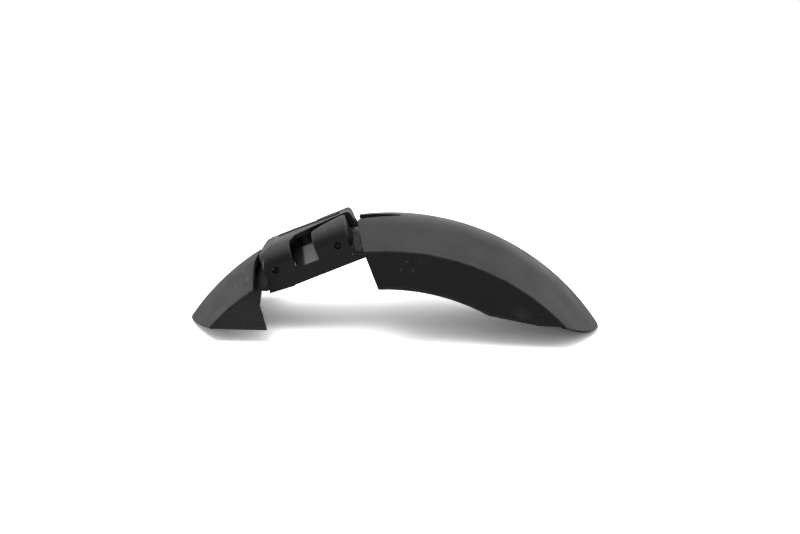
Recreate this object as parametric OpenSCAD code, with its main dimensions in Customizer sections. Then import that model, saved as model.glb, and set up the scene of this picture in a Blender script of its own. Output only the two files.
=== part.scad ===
// Front mudguard for a small-wheeled bicycle.
// Two arched blades stand on a saddle that follows the wheel, and a narrow
// bracket housing with two ears and a spine closes over the saddle.
// X runs fore and aft with the short front blade at -X, Y runs across and Z is
// up. The origin lies on the floor, straight below the wheel's axle.

/* [Wheel arch] */
// Outer radius of the crown, from the wheel's axle
crown_r = 150; // [140:1:165]
// Width over the side flanges
blade_w = 90; // [84:1:100]
// Wall of the blades
blade_wall = 2.5; // [2:0.1:3.5]
// Rounding radius along the ridge of the crown
ridge_r = 54; // [40:1:70]
// Slope of the crown's flanks, in degrees
flank_angle = 16.5; // [12:0.5:20]
// Height above the axle's level at which both tips end, in degrees
tip_angle = 34; // [32:0.5:36]
// Radius of small rounded corners
corner_r = 2; // [1:0.5:3]

/* [Front blade] */
// Angle from the tip to where the crease leaves the flange
front_tip_sweep = 7; // [5:0.5:9]
// Bluntness of the front tip's outline
front_tip_power = 1.56; // [1.3:0.02:2]
// Height of the flange's lower edge above the axle
front_flange_z = 90.7; // [88:0.1:93]
// Lean of the flange's rear edge from the vertical, in degrees
front_flange_lean = 18.6; // [12:0.2:24]
// Length by which the flange stands out behind the crown, under the crease
front_gusset_l = 4.2; // [3:0.1:5]
// Height over which it does so
front_gusset_h = 7.3; // [6:0.1:9]
// Distance from the bracket's middle to the blade's rear edge
front_blade_gap = 32.7; // [31:0.1:36]
// How far the edge's middle reaches towards the hood
front_nose_l = 3; // [1:0.1:3.4]
// Half width of that nose
front_nose_w = 20; // [14:1:26]
// Half width of the tab that runs under the hood
front_tab_w = 7; // [5:0.5:9]
// Length of the tab
front_tab_l = 9; // [6:0.5:12]

/* [Rear blade] */
// Angle from the tip to where the crease leaves the flange
rear_tip_sweep = 10; // [8:0.5:12]
// Bluntness of the rear tip's outline
rear_tip_power = 1.9; // [1.5:0.05:2.2]
// Depth of the flange below the crease
rear_flange_h = 22; // [18:0.5:25]
// Angle above the axle's level where the flange starts to taper
rear_taper_angle = 61.3; // [58:0.1:66]
// Lean of the flange's front edge from the vertical, in degrees
rear_flange_lean = 21.5; // [15:0.5:26]
// Distance from the bracket's middle to the blade's front edge
rear_blade_gap = 34.3; // [33:0.1:38]
// Half width of the slot in the crown, at its mouth
slot_w = 5; // [4:0.25:6]
// Length of the slot
slot_l = 22; // [16:1:28]

/* [Saddle] */
// Clearance above the saddle's ridge, up to the blades
saddle_drop = 5; // [4:0.25:6]
// Wall of the saddle
saddle_wall = 2.6; // [2:0.1:3.5]
// Half width of the saddle's flat ridge
saddle_ridge_w = 6; // [4:0.5:8]
// Slope of the saddle's flanks, in degrees
saddle_angle = 25; // [20:1:30]
// Depth of the saddle's side lips
lip_h = 4.2; // [3:0.2:6]
// Angle between the bracket's middle and the saddle's front end
saddle_front_sweep = 21; // [18:0.5:24]
// Angle between the bracket's middle and the saddle's rear end
saddle_rear_sweep = 34; // [30:0.5:37]
// Height of the ribs on the saddle's flanks
rib_h = 0.9; // [0.5:0.1:1.3]
// Width of the ribs
rib_w = 1.2; // [0.8:0.1:1.6]
// Diameter of the blind hole for the post that carries the part
post_hole_d = 6.2; // [5.2:0.1:6.6]
// Depth of that hole
post_hole_l = 9.5; // [8:0.1:9.6]
// Diameter of the pillar around that hole
post_boss_d = 11; // [10:0.5:12]
// Thickness of the fin that carries the spine
fin_w = 4; // [3:0.5:5]
// Number of ribs on each rear flank
rib_n = 4; // [2:1:5]

/* [Bracket housing] */
// Angle of the bracket's middle above the axle's level
bracket_angle = 113.2; // [110:0.2:116]
// Where the bracket's middle lies along its own axis
bracket_mid = 4.3; // [3:0.1:6]
// Width of the housing
housing_w = 50.8; // [48:0.2:56]
// Wall of the housing
housing_wall = 2.5; // [2:0.1:3]
// Depth of the housing's lower edge below the crown's radius
housing_drop = 24; // [23:0.1:25]
// Rise of the housing's top over the crown's radius
housing_rise = 1.4; // [0.8:0.1:3]
// Depth by which the hood's lower edge hangs under the rails, at its rear end
hood_step_h = 0.5; // [0.4:0.1:1]
// Distance from the window forward to that rear end
hood_step_l = 5.3; // [4:0.1:7]
// Rise of that edge from there to the rim
hood_edge_rise = 1.4; // [0.6:0.1:2]
// Depth of the domed shoulder
shoulder_h = 12; // [10:0.5:14]
// Roundness of the domed shoulder
shoulder_power = 2.4; // [2:0.1:3]
// Distance from the middle to the hood's front rim
hood_front = 28.5; // [27.5:0.1:29]
// How far the rim's sides lie behind its middle
hood_bulge = 2; // [0.8:0.1:3]
// How far the rim leans forward below the shoulder
rim_lean = 2.8; // [1:0.1:3.4]
// Length of the slanted face at the front of the hood
hood_slant_l = 10.4; // [8:0.2:12]
// Drop of the slanted face at the rim
hood_slant_h = 3; // [2:0.1:3.4]
// Distance from the middle to the rails' rear end
rail_rear = 36; // [34:0.5:38]
// Height of the rails' lip behind the ears
rail_lip_h = 2.9; // [2:0.1:4]
// Height of the window's sill above the lower edge
sill_h = 8.8; // [7:0.1:11]
// Distance from the middle forward to the window
window_front = 7.6; // [6:0.1:9.5]
// How far the window's front edge leans forward down to the sill
window_lean = 1.6; // [0.4:0.1:2.4]
// Distance from the middle back to the ears
ear_front = 6.7; // [5:0.1:8]
// Length of the ears
ear_l = 21.7; // [19:0.1:23]
// Half width of the spine at its root
spine_root_w = 10; // [8:0.5:12]
// Half width of the spine at its rear end
spine_tip_w = 3.6; // [3:0.1:5]
// Gap between the spine and the ears
spine_gap = 4.2; // [3:0.1:5]
// Height of the curl at the spine's rear end
curl_h = 11; // [9:0.5:11.5]
// Outer radius of the curl
curl_r = 3; // [2.8:0.1:5]
// Distance from the ears' rear end to the curl's rear end
curl_l = 3.8; // [3.4:0.1:4.4]
// Slope of the curl's rear face, in degrees
curl_lean = 8; // [4:1:12]
// Depth of the groove along the spine
groove_d = 0.7; // [0.4:0.1:1.2]

/* [Fasteners] */
// Distance between the front and rear side screws
screw_pitch = 40; // [38:0.5:42]
// Height of the side screws above the lower edge
screw_h = 12.5; // [11:0.1:13.5]
// Shank diameter of the side screws
screw_d = 2.5; // [2:0.1:3]
// Head diameter of the side screws
head_d = 4; // [3.6:0.1:4.6]
// Depth of the side screws' heads
head_h = 1.3; // [1:0.1:1.6]
// Length of the side screws' shanks
screw_l = 9; // [7:0.5:11]
// Outer diameter of the brass inserts
insert_d = 4.6; // [4.2:0.1:5.2]
// Length of the brass inserts
insert_l = 5; // [4:0.5:6]
// Depth of the side inserts below the faces of their bosses
insert_recess = 0.6; // [0.6:0.1:1]
// Diameter of the bosses around the inserts
boss_d = 8; // [7.4:0.2:9]
// Shank diameter of the blade screws
blade_screw_d = 4; // [3.5:0.1:4.5]
// Head diameter of the blade screws
blade_head_d = 8; // [7:0.5:9]
// Head height of the blade screws
blade_head_h = 2.4; // [2:0.1:3]
// Length of the blade screws' shanks below the head
blade_screw_l = 8; // [6.5:0.5:8.5]
// Outer diameter of the washers
washer_d = 9.4; // [9.1:0.1:11]
// Thickness of the washers
washer_t = 0.8; // [0.6:0.1:1.2]
// Half the distance between the two screws of a blade
blade_screw_y = 10; // [9:0.5:12]
// Angle between the bracket's middle and the front blade's screws
front_screw_sweep = 17.5; // [16.5:0.5:18.5]
// Angle between the bracket's middle and the rear blade's screws
rear_screw_sweep = 26.5; // [25:0.5:28]

/* [Hidden] */
$fn = 64;

fit = 0.2;
cut = 20;
half_w = blade_w / 2;
ridge_y = ridge_r * sin(flank_angle);
bracket_tilt = bracket_angle - 90;
floor_z = (crown_r - blade_wall) * sin(tip_angle);
crease_r = crown(half_w);
mid = bracket_mid;
housing_low = crown_r - housing_drop;
housing_top = crown_r + housing_rise;
screw_v = housing_low + screw_h;
sill_v = housing_low + sill_h;
wall_y = housing_w / 2;
saddle_y = wall_y - housing_wall - fit;
saddle_r = crown_r - blade_wall - saddle_drop;
lip_top_r = saddle_r - (saddle_y - saddle_ridge_w) * tan(saddle_angle);
lip_low_r = lip_top_r - lip_h;
ear_rear = ear_front + ear_l;
curl_u = mid + ear_rear + curl_l - curl_r - (curl_h - curl_r) * tan(curl_lean);
boss_len = insert_l + insert_recess + 4;
front_a = bracket_angle + front_screw_sweep;
rear_a = bracket_angle - rear_screw_sweep;
neck_r = lip_top_r - 0.4;
post_low = saddle_r - 5;
post_top = housing_top - housing_wall - fit;
neck_angle = bracket_angle + 13.8;
neck_z = neck_r * sin(neck_angle);
neck_x = -lip_low_r * cos(bracket_angle + 10.5);
rim_side = mid - hood_front + hood_bulge;
front_end = 180 - tip_angle;

// Height of the crown's outer face above the axle, at a distance y from the middle
function crown(y) = abs(y) <= ridge_y
    ? crown_r - ridge_r + sqrt(ridge_r * ridge_r - y * y)
    : crown_r - ridge_r * (1 - cos(flank_angle)) - (abs(y) - ridge_y) * tan(flank_angle);

// Height of the crown's inner face
function crown_inside(y) = crown(y) - blade_wall / cos(min(flank_angle, asin(min(1, abs(y) / ridge_r))));

// Height of the saddle's outer face
function saddle_face(y) = saddle_r - max(0, abs(y) - saddle_ridge_w) * tan(saddle_angle);

// Height of the housing's domed top, for a half width w and a top height t
function dome(y, w, t) = t - shoulder_h
    + shoulder_h * pow(max(0, 1 - pow(abs(y) / w, shoulder_power)), 1 / shoulder_power);

// Signed power, for outlines that are even about the middle
function blunt(y, power) = pow(abs(y) / half_w, power);

// Distance of the spine's edge from the middle, u behind the window's front edge
function spine_edge(u) = spine_tip_w
    + (spine_root_w - spine_tip_w) * pow(max(0, 1 - u / (ear_rear + window_front)), 1.25);

// Places a shape drawn in the bracket's own frame, with its axis along X
module in_bracket() {
    rotate([0, -bracket_tilt, 0]) children();
}

// Sets the wheel's axle at its height above the floor
module on_floor() {
    translate([0, 0, -floor_z]) children();
}

// Turns a half section, radius along X and width along Y, about the axle
module sweep(from, to) {
    rotate([90, 0, 0]) rotate([0, 0, from]) rotate_extrude(angle = to - from, $fn = 180) children();
}

// Extrudes a side view, drawn in X and Z, across the part
module side_cut(w) {
    rotate([90, 0, 0]) translate([0, 0, -w]) linear_extrude(2 * w) children();
}

// Section of the blade's crown, from crease to crease
module crown_section() {
    steps = 15;
    side = [for (i = [-steps : steps]) i * half_w / steps];
    polygon(concat(
        [for (y = side) [crown(y), y]],
        [for (i = [steps : -1 : -steps]) [crown_inside(i * half_w / steps), i * half_w / steps]]));
}

// Plan outline beyond a tip, seen along the radius at the middle of the tip
module tip_cutter(sweep_angle, power, side) {
    steps = 16;
    edge = [for (i = [-steps : steps])
        let (y = i * (half_w + 1) / steps, a = sweep_angle * blunt(y, power))
        [-side * crown(y) * sin(a), y]];
    rotate([0, side * (90 - tip_angle), 0])
        translate([0, 0, crown_r / 2])
            linear_extrude(crown_r)
                polygon(concat(edge, [[side * 3 * cut, half_w + 1], [side * 3 * cut, -half_w - 1]]));
}

// Both side flanges, from one side view
module flanges() {
    for (side = [-1, 1])
        translate([0, side * (half_w - blade_wall / 2), 0]) side_cut(blade_wall / 2) children();
}

// A boss inside a blade that stands on the saddle
module blade_boss(angle, y) {
    rotate([0, 90 - angle, 0]) translate([0, y, saddle_face(y)])
        cylinder(d = boss_d, h = crown_inside(y) - saddle_face(y) + blade_wall / 2);
}

// A hole along the radius at a blade screw
module radial_hole(angle, y, from, to, d) {
    rotate([0, 90 - angle, 0]) translate([0, y, from]) cylinder(d = d, h = to - from);
}

// Side view of the front flange
module front_flange_view() {
    top = [crease_r * cos(front_crease_end()), crease_r * sin(front_crease_end())];
    depth = top[1] - front_flange_z;
    low = [top[0] + depth * tan(front_flange_lean), front_flange_z];
    tip = [-sqrt(crease_r * crease_r - front_flange_z * front_flange_z), front_flange_z];
    gusset_top = top + [front_gusset_l, front_gusset_l / 5];
    gusset_low = top + [front_gusset_l * 0.76, -front_gusset_h];
    intersection() {
        circle(r = crease_r, $fn = 180);
        polygon([top * 1.1, top, gusset_top, gusset_low, low, tip, tip * 1.1, (top + tip) * 0.7]);
    }
}

// Angle at which the front crease ends, on the blade's rear edge
function front_crease_end() = bracket_angle + asin((front_blade_gap - mid) / crease_r);

// Angle at which the rear crease starts, on the blade's front edge
function rear_crease_end() = bracket_angle - asin((rear_blade_gap + 2.2 + mid) / crease_r);

// Where the front blade's rear edge lies along the bracket's axis
function front_edge(y) = mid - front_blade_gap
    + front_nose_l * (1 + cos(180 * min(1, abs(y) / front_nose_w))) / 2;

// The tab under the crown that runs on below the hood
module front_tab() {
    r = corner_r;
    rear = mid - front_blade_gap + front_tab_l;
    intersection() {
        sweep(bracket_angle, front_a) translate([crown_r - 2 * blade_wall, -front_tab_w])
            square([blade_wall + 0.3, 2 * front_tab_w]);
        in_bracket() translate([0, 0, crown_r / 2]) linear_extrude(crown_r) union() {
            translate([rear - blade_w, -front_tab_w]) square([blade_w - r, 2 * front_tab_w]);
            translate([rear - r - 1, r - front_tab_w]) square([r + 1, 2 * (front_tab_w - r)]);
            for (side = [-1, 1]) translate([rear - r, side * (front_tab_w - r)]) circle(r = r);
        }
    }
}

module front_blade() {
    end = front_crease_end();
    color([0.12, 0.12, 0.12])
    on_floor() difference() {
        union() {
            difference() {
                sweep(bracket_angle, front_end + 4) crown_section();
                tip_cutter(front_tip_sweep, front_tip_power, -1);
                // The rear edge, with a nose in the middle
                in_bracket() translate([0, 0, crown_r / 2]) linear_extrude(crown_r)
                    polygon(concat(
                        [for (i = [-10 : 10]) [front_edge(i * front_nose_w / 10), i * front_nose_w / 10]],
                        [[front_edge(blade_w), half_w + 1], [blade_w, half_w + 1],
                         [blade_w, -half_w - 1], [front_edge(blade_w), -half_w - 1]]));
            }
            front_tab();
            flanges() front_flange_view();
            for (side = [-1, 1])
                intersection() {
                    blade_boss(front_a, side * blade_screw_y);
                    sweep(bracket_angle, front_end) square_under_crown();
                }
        }
        for (side = [-1, 1])
            radial_hole(front_a, side * blade_screw_y,
                        saddle_r - cut, crown_inside(blade_screw_y) - 0.4, insert_d + 1);
    }
}

// Everything below the crown's middle surface
module square_under_crown() {
    steps = 8;
    polygon(concat([[crown_r - cut, half_w / 2], [crown_r - cut, -half_w / 2]],
        [for (i = [-steps : steps]) let (y = i * half_w / 2 / steps) [crown(y) - blade_wall / 2, y]]));
}

// Side view of the rear flange
module rear_flange_view() {
    start = rear_crease_end();
    low_r = crease_r - rear_flange_h;
    top = [crease_r * cos(start), crease_r * sin(start)];
    drop = rear_flange_h * 0.93;
    front = [top[0] + drop * tan(rear_flange_lean), top[1] - drop];
    kink = [low_r * cos(rear_taper_angle), low_r * sin(rear_taper_angle)];
    crease_tip = tip_angle + rear_tip_sweep;
    tip = [crease_r * cos(crease_tip), crease_r * sin(crease_tip)];
    bend = [kink[0] + 0.66 * (tip[0] - kink[0]), tip[1] + 0.6];
    difference() {
        intersection() {
            circle(r = crease_r, $fn = 180);
            polygon([
                top * 1.1, top, front, front * 0.97, kink * 0.97, kink, bend,
                tip, tip * 1.2, [crown_r, crown_r]]);
        }
        circle(r = low_r, $fn = 180);
    }
}

module rear_blade() {
    edge_u = mid + rear_blade_gap;
    color([0.12, 0.12, 0.12])
    on_floor() difference() {
        union() {
            difference() {
                sweep(tip_angle - 4, bracket_angle) crown_section();
                tip_cutter(rear_tip_sweep, rear_tip_power, 1);
                in_bracket() translate([0, 0, crown_r / 2]) linear_extrude(crown_r) union() {
                    // The front edge sweeps back a little towards the flanges
                    polygon(concat(
                        [for (i = [-10 : 10]) [edge_u + 2.2 * pow(i / 10, 2), i * (half_w + 1) / 10]],
                        [[edge_u - blade_w, half_w + 1], [edge_u - blade_w, -half_w - 1]]));
                    // The slot in the crown, which closes to a point
                    polygon(concat(
                        [for (i = [0 : 8]) [edge_u + slot_l * i / 8, slot_w * pow(1 - i / 8, 0.8)]],
                        [for (i = [8 : -1 : 0]) [edge_u + slot_l * i / 8, -slot_w * pow(1 - i / 8, 0.8)]]));
                    for (side = [-1, 1]) slot_corner(edge_u, side);
                }
            }
            flanges() rear_flange_view();
            for (side = [-1, 1])
                intersection() {
                    blade_boss(rear_a, side * blade_screw_y);
                    sweep(tip_angle, bracket_angle) square_under_crown();
                }
        }
        for (side = [-1, 1])
            radial_hole(rear_a, side * blade_screw_y,
                        saddle_r - cut, crown_inside(blade_screw_y) - 0.4, insert_d + 1);
    }
}

// Rounds the corner between the front edge and the slot
module slot_corner(edge_u, side) {
    r = corner_r;
    difference() {
        translate([edge_u - 1, side > 0 ? slot_w - 1.2 : -slot_w - r]) square([r + 1, r + 1.2]);
        translate([edge_u + r, side * (slot_w + r - 0.6)]) circle(r = r);
    }
}

// Section of the saddle: a low gable with two side lips
module saddle_section() {
    inner_y = saddle_y - saddle_wall;
    fall = saddle_wall / cos(saddle_angle);
    inner_ridge = saddle_r - saddle_wall;
    polygon([
        [saddle_r, -saddle_ridge_w], [saddle_r, saddle_ridge_w],
        [lip_top_r, saddle_y], [lip_low_r, saddle_y], [lip_low_r, inner_y],
        [saddle_face(inner_y) - fall, inner_y],
        [inner_ridge, saddle_ridge_w - (fall - saddle_wall) / tan(saddle_angle)],
        [inner_ridge, -saddle_ridge_w + (fall - saddle_wall) / tan(saddle_angle)],
        [saddle_face(inner_y) - fall, -inner_y],
        [lip_low_r, -inner_y], [lip_low_r, -saddle_y], [lip_top_r, -saddle_y]]);
}

// Section of one rib: the saddle's section, raised on the flanks only
module rib_section() {
    polygon(concat(
        [[saddle_r - saddle_wall, 0]],
        [[saddle_r, saddle_ridge_w], [saddle_face(saddle_y - 1) + rib_h, saddle_y - 1],
         [lip_top_r - 1, saddle_y], [lip_top_r - 1, saddle_y - saddle_wall]]));
}

module saddle() {
    front = bracket_angle + saddle_front_sweep;
    rear = bracket_angle - saddle_rear_sweep;
    color([0.09, 0.09, 0.09])
    on_floor() difference() {
        union() {
            sweep(rear, front) saddle_section();
            // Ribs that show between the ears and the rear blade
            for (i = [0 : rib_n - 1])
                let (a = rear_crease_end() + 6.2 - i * 2.1, w = rib_w / saddle_r * 180 / PI)
                for (side = [0, 1]) mirror([0, side, 0]) sweep(a - w, a) rib_section();
            // A stop on each flank, in the window's front lower corner
            for (side = [-1, 1]) in_bracket()
                translate([mid - window_front - 1.7, side * (saddle_y - 1) - 1, lip_low_r + 1])
                    cube([1.4, 2, housing_low + 13 - lip_low_r - 1]);
            // A pillar and a fin under the spine
            in_bracket() translate([mid, 0, post_low]) cylinder(d = post_boss_d, h = post_top - post_low);
            in_bracket() translate([mid - window_front - 4, -fin_w / 2, saddle_r - saddle_wall])
                cube([ear_rear + window_front, fin_w, post_top - saddle_r + saddle_wall]);
            // Bosses for the side inserts, which follow the housing's shoulder
            in_bracket() intersection() {
                housing_form(housing_wall + fit, rim_side - 4, mid + rail_rear);
                for (place = [-1, 1]) for (side = [-1, 1])
                    translate([mid + place * screw_pitch / 2, side * saddle_y, screw_v])
                        rotate([side * 90, 0, 0]) cylinder(d = boss_d, h = boss_len);
            }
        }
        for (place = [-1, 1]) for (side = [-1, 1])
            in_bracket() translate([mid + place * screw_pitch / 2, side * (saddle_y + 1), screw_v])
                rotate([side * 90, 0, 0]) cylinder(d = insert_d, h = insert_l + insert_recess + 1);
        for (place = [-1, 1]) for (side = [-1, 1])
            in_bracket() translate([mid + place * screw_pitch / 2, side * (saddle_y + 1), screw_v])
                rotate([side * 90, 0, 0]) cylinder(d = screw_d + 2 * fit, h = screw_l + 1);
        in_bracket() translate([mid, 0, post_low - 1]) cylinder(d = post_hole_d, h = post_hole_l + 1);
        // The side lips end level, ahead of the hood
        for (side = [-1, 1]) translate([0, side * (saddle_y - saddle_wall / 2), 0])
            side_cut(saddle_wall / 2 + 0.01) intersection() {
                circle(r = lip_top_r, $fn = 180);
                translate([-crown_r, 0]) square([crown_r - neck_x, neck_z]);
            }
        for (side = [-1, 1]) {
            radial_hole(front_a, side * blade_screw_y,
                        saddle_r - cut, saddle_r + cut, blade_screw_d + 2 * fit);
            radial_hole(rear_a, side * blade_screw_y,
                        saddle_r - cut, saddle_r + cut, blade_screw_d + 2 * fit);
            // Flat seats for the washers
            radial_hole(front_a, side * blade_screw_y,
                        saddle_r - cut, washer_seat(), washer_d + 1);
            radial_hole(rear_a, side * blade_screw_y,
                        saddle_r - cut, washer_seat(), washer_d + 1);
            // Flat seats for the blades' bosses
            radial_hole(front_a, side * blade_screw_y,
                        saddle_face(blade_screw_y), saddle_r + cut, boss_d + 2 * fit);
            radial_hole(rear_a, side * blade_screw_y,
                        saddle_face(blade_screw_y), saddle_r + cut, boss_d + 2 * fit);
        }
    }
}

// Height of the washers' seat under the saddle, above the axle
function washer_seat() = saddle_face(blade_screw_y) - saddle_wall;

// Section of the housing, width along X and height along Y
module housing_section(inset) {
    w = wall_y - inset;
    t = housing_top - inset;
    steps = 14;
    polygon(concat([[-w, housing_low - 2], [-w, t - shoulder_h]],
        [for (i = [-steps : steps]) let (a = 90 * i / steps) [w * sin(a), dome(w * sin(a), w, t)]],
        [[w, t - shoulder_h], [w, housing_low - 2]]));
}

// The housing's outer or inner form, with the slanted face at the front of the hood
module housing_form(inset, from, to) {
    intersection() {
        translate([from, 0, 0]) rotate([90, 0, 90]) linear_extrude(to - from) housing_section(inset);
        side_cut(wall_y + cut) translate([0, -inset]) polygon([
            [mid - hood_front - cut, housing_low - cut],
            [mid - hood_front - cut, housing_top - hood_slant_h - cut * hood_slant_h / hood_slant_l],
            [mid - hood_front, housing_top - hood_slant_h],
            [mid - hood_front + hood_slant_l, housing_top],
            [mid - hood_front + hood_slant_l, housing_top + cut],
            [mid + rail_rear + cut, housing_top + cut],
            [mid + rail_rear + cut, housing_low - cut]]);
    }
}

// Plan of the hood, the spine and the ears
module roof_plan() {
    front = mid - window_front;
    span = ear_rear + window_front;
    steps = 10;
    translate([mid - hood_front - 1, -wall_y - 1]) square([hood_front - window_front + 1, housing_w + 2]);
    // The spine, which narrows towards the rear
    polygon(concat(
        [[front - 1, wall_y * 0.64]],
        [for (i = [1 : steps - 2]) [front + span * i / steps, spine_edge(span * i / steps)]],
        [[curl_u, spine_tip_w], [curl_u, -spine_tip_w]],
        [for (i = [steps - 2 : -1 : 1]) [front + span * i / steps, -spine_edge(span * i / steps)]],
        [[front - 1, -wall_y * 0.64]]));
    for (side = [0, 1]) mirror([0, side]) ear_plan();
}

// Plan of one ear, with rounded corners
module ear_plan() {
    r = corner_r + 1;
    front_y = spine_edge(ear_front + window_front) + spine_gap;
    rear_y = spine_tip_w + spine_gap - 0.4;
    front = mid + ear_front;
    rear = mid + ear_rear;
    hull() {
        translate([front + r, front_y + r + 2]) circle(r = r);
        translate([front + r + 6, front_y + r - 1]) circle(r = r);
        translate([rear - r, rear_y + r]) circle(r = r);
        translate([rear - r, wall_y - r]) circle(r = r);
        translate([front, wall_y - r]) square([r, r]);
    }
}

// Side view of the rails, which run on as a low lip behind the ears
module rail_view() {
    r = corner_r + 1;
    rear = mid + ear_rear;
    lip = housing_low + rail_lip_h;
    hood_rear = mid - window_front - hood_step_l;
    translate([hood_rear - 0.1, housing_low]) square([rear - hood_rear + 0.1, sill_h]);
    polygon([
        [rim_side - 4, sill_v], [rim_side - 4, housing_low - hood_step_h + hood_edge_rise],
        [hood_rear, housing_low - hood_step_h], [hood_rear, sill_v]]);
    translate([rear - 1, housing_low]) square([rail_rear - ear_rear + 1, rail_lip_h]);
    difference() {
        translate([rear - 1, lip - 1]) square(r + 1);
        translate([rear + r, lip + r]) circle(r = r);
    }
}

module bracket_housing() {
    color([0.11, 0.11, 0.11])
    on_floor() in_bracket() difference() {
        union() {
            intersection() {
                difference() {
                    housing_form(0, rim_side - 4, mid + rail_rear);
                    housing_form(housing_wall, rim_side - 5, mid + rail_rear + 1);
                }
                union() {
                    side_cut(wall_y + 1) rail_view();
                    translate([0, 0, sill_v - 0.01]) linear_extrude(cut * 2) roof_plan();
                }
            }
            // The ears' closed rear walls
            for (side = [0, 1]) mirror([0, side, 0]) intersection() {
                housing_form(0, mid, mid + ear_rear);
                translate([0, 0, saddle_r - 4]) linear_extrude(cut) difference() {
                    ear_plan();
                    translate([mid - cut, -1]) square([ear_rear + cut - housing_wall, housing_w]);
                }
            }
            curl();
            // Bosses behind the side screws' heads
            for (place = [-1, 1]) for (side = [-1, 1])
                translate([mid + place * screw_pitch / 2, side * (wall_y - housing_wall), screw_v])
                    rotate([side * 90, 0, 0]) cylinder(d = boss_d, h = fit);
        }
        // The front rim bulges forward in the middle, and leans forward below the shoulder
        translate([0, 0, housing_low + 10.8]) linear_extrude(2 * cut) polygon(concat(
            [[mid - hood_front - cut, -wall_y - 1], [rim_side, -wall_y - 1]],
            [for (i = [-8 : 8])
                [rim_side - hood_bulge * (1 - pow(i / 8, 2)), i * (wall_y - housing_wall) / 8]],
            [[rim_side, wall_y + 1], [mid - hood_front - cut, wall_y + 1]]));
        side_cut(wall_y + 1) polygon([
            [rim_side - cut, housing_low + 10.81], [rim_side, housing_low + 10.81],
            [rim_side - rim_lean, housing_low - 1.5], [rim_side - cut, housing_low - 1.5]]);
        // The window's front edge leans back as it rises
        for (side = [0, 1]) mirror([0, side, 0])
            translate([0, wall_y - 4, 0]) side_cut(6) polygon([
                [mid - window_front - window_lean, sill_v], [mid - window_front, sill_v + 9.4],
                [mid - window_front + 1, sill_v + 9.4], [mid - window_front + 1, sill_v]]);
        // The groove along the spine
        translate([0, 0, housing_top - groove_d]) linear_extrude(cut) polygon([
            [mid - hood_front + hood_slant_l + 1.5, spine_root_w * 0.62],
            [mid - window_front + 4, spine_root_w * 0.62], [mid + ear_rear - 4, spine_tip_w * 0.6],
            [mid + ear_rear - 4, -spine_tip_w * 0.6], [mid - window_front + 4, -spine_root_w * 0.62],
            [mid - hood_front + hood_slant_l + 1.5, -spine_root_w * 0.62]]);
        for (place = [-1, 1]) for (side = [-1, 1])
            translate([mid + place * screw_pitch / 2, side * (wall_y + 1), screw_v])
                rotate([side * 90, 0, 0]) {
                    cylinder(d = screw_d + 2 * fit, h = housing_wall + 3);
                    cylinder(d = head_d + 2 * fit, h = 1 + head_h + 0.3);
                }
    }
}

// The spine's rear end turns down into a short curl
module curl() {
    steps = 8;
    inner_r = curl_r - housing_wall;
    turn = [for (i = [0 : steps]) let (a = 90 - (90 - curl_lean) * i / steps) [cos(a), sin(a)]];
    fall = (curl_h - curl_r) * [tan(curl_lean), -1];
    translate([curl_u, 0, 0]) side_cut(spine_tip_w) translate([0, housing_top - curl_r]) polygon(concat(
        [[-0.5, curl_r]],
        [for (i = [0 : steps]) turn[i] * curl_r],
        [turn[steps] * curl_r + fall, turn[steps] * inner_r + fall],
        [for (i = [steps : -1 : 0]) turn[i] * inner_r],
        [[-0.5, inner_r]]));
}

// A pan-head screw along +Z, with its shank's end at the origin
module pan_screw(shank, head, height, length) {
    cylinder(d = shank, h = length);
    difference() {
        translate([0, 0, length]) intersection() {
            cylinder(d = head, h = height);
            translate([0, 0, height - head]) sphere(r = head * 1.0);
        }
        translate([0, 0, length + height * 0.45]) for (turn = [0, 90])
            rotate([0, 0, turn]) translate([-head * 0.32, -head * 0.07, 0])
                cube([head * 0.64, head * 0.14, height]);
    }
}

// A side screw in the housing, in its place
module side_screw(place, side) {
    color([0.06, 0.06, 0.06])
    on_floor() in_bracket()
        translate([mid + place * screw_pitch / 2, side * (wall_y - head_h - 0.3 - screw_l), screw_v])
            rotate([-side * 90, 0, 0]) pan_screw(screw_d, head_d, head_h, screw_l);
}

// A brass insert in a boss of the saddle, around the screw's shank
module side_insert(place, side) {
    color([0.62, 0.48, 0.22])
    on_floor() in_bracket()
        translate([mid + place * screw_pitch / 2, side * (saddle_y - insert_l - insert_recess), screw_v])
            rotate([-side * 90, 0, 0]) difference() {
                cylinder(d = insert_d, h = insert_l);
                translate([0, 0, -1]) cylinder(d = screw_d, h = insert_l + 2);
            }
}

// A blade screw that comes up through the saddle
module blade_screw(angle, side) {
    color([0.55, 0.56, 0.58])
    on_floor() rotate([0, 90 - angle, 0])
        translate([0, side * blade_screw_y, washer_seat() - washer_t + blade_screw_l])
            rotate([180, 0, 0]) pan_screw(blade_screw_d, blade_head_d, blade_head_h, blade_screw_l);
}

module blade_washer(angle, side) {
    color([0.6, 0.6, 0.62])
    on_floor() rotate([0, 90 - angle, 0])
        translate([0, side * blade_screw_y, washer_seat() - washer_t]) difference() {
            cylinder(d = washer_d, h = washer_t);
            translate([0, 0, -1]) cylinder(d = blade_screw_d + 2 * fit, h = washer_t + 2);
        }
}

// A brass insert in the boss of a blade
module blade_insert(angle, side) {
    top = crown_inside(blade_screw_y) - 0.4;
    low = saddle_face(blade_screw_y) + 0.3;
    color([0.62, 0.48, 0.22])
    on_floor() rotate([0, 90 - angle, 0])
        translate([0, side * blade_screw_y, low]) difference() {
            cylinder(d = insert_d + 1, h = top - low);
            translate([0, 0, -1]) cylinder(d = blade_screw_d, h = top - low + 2);
        }
}

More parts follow.
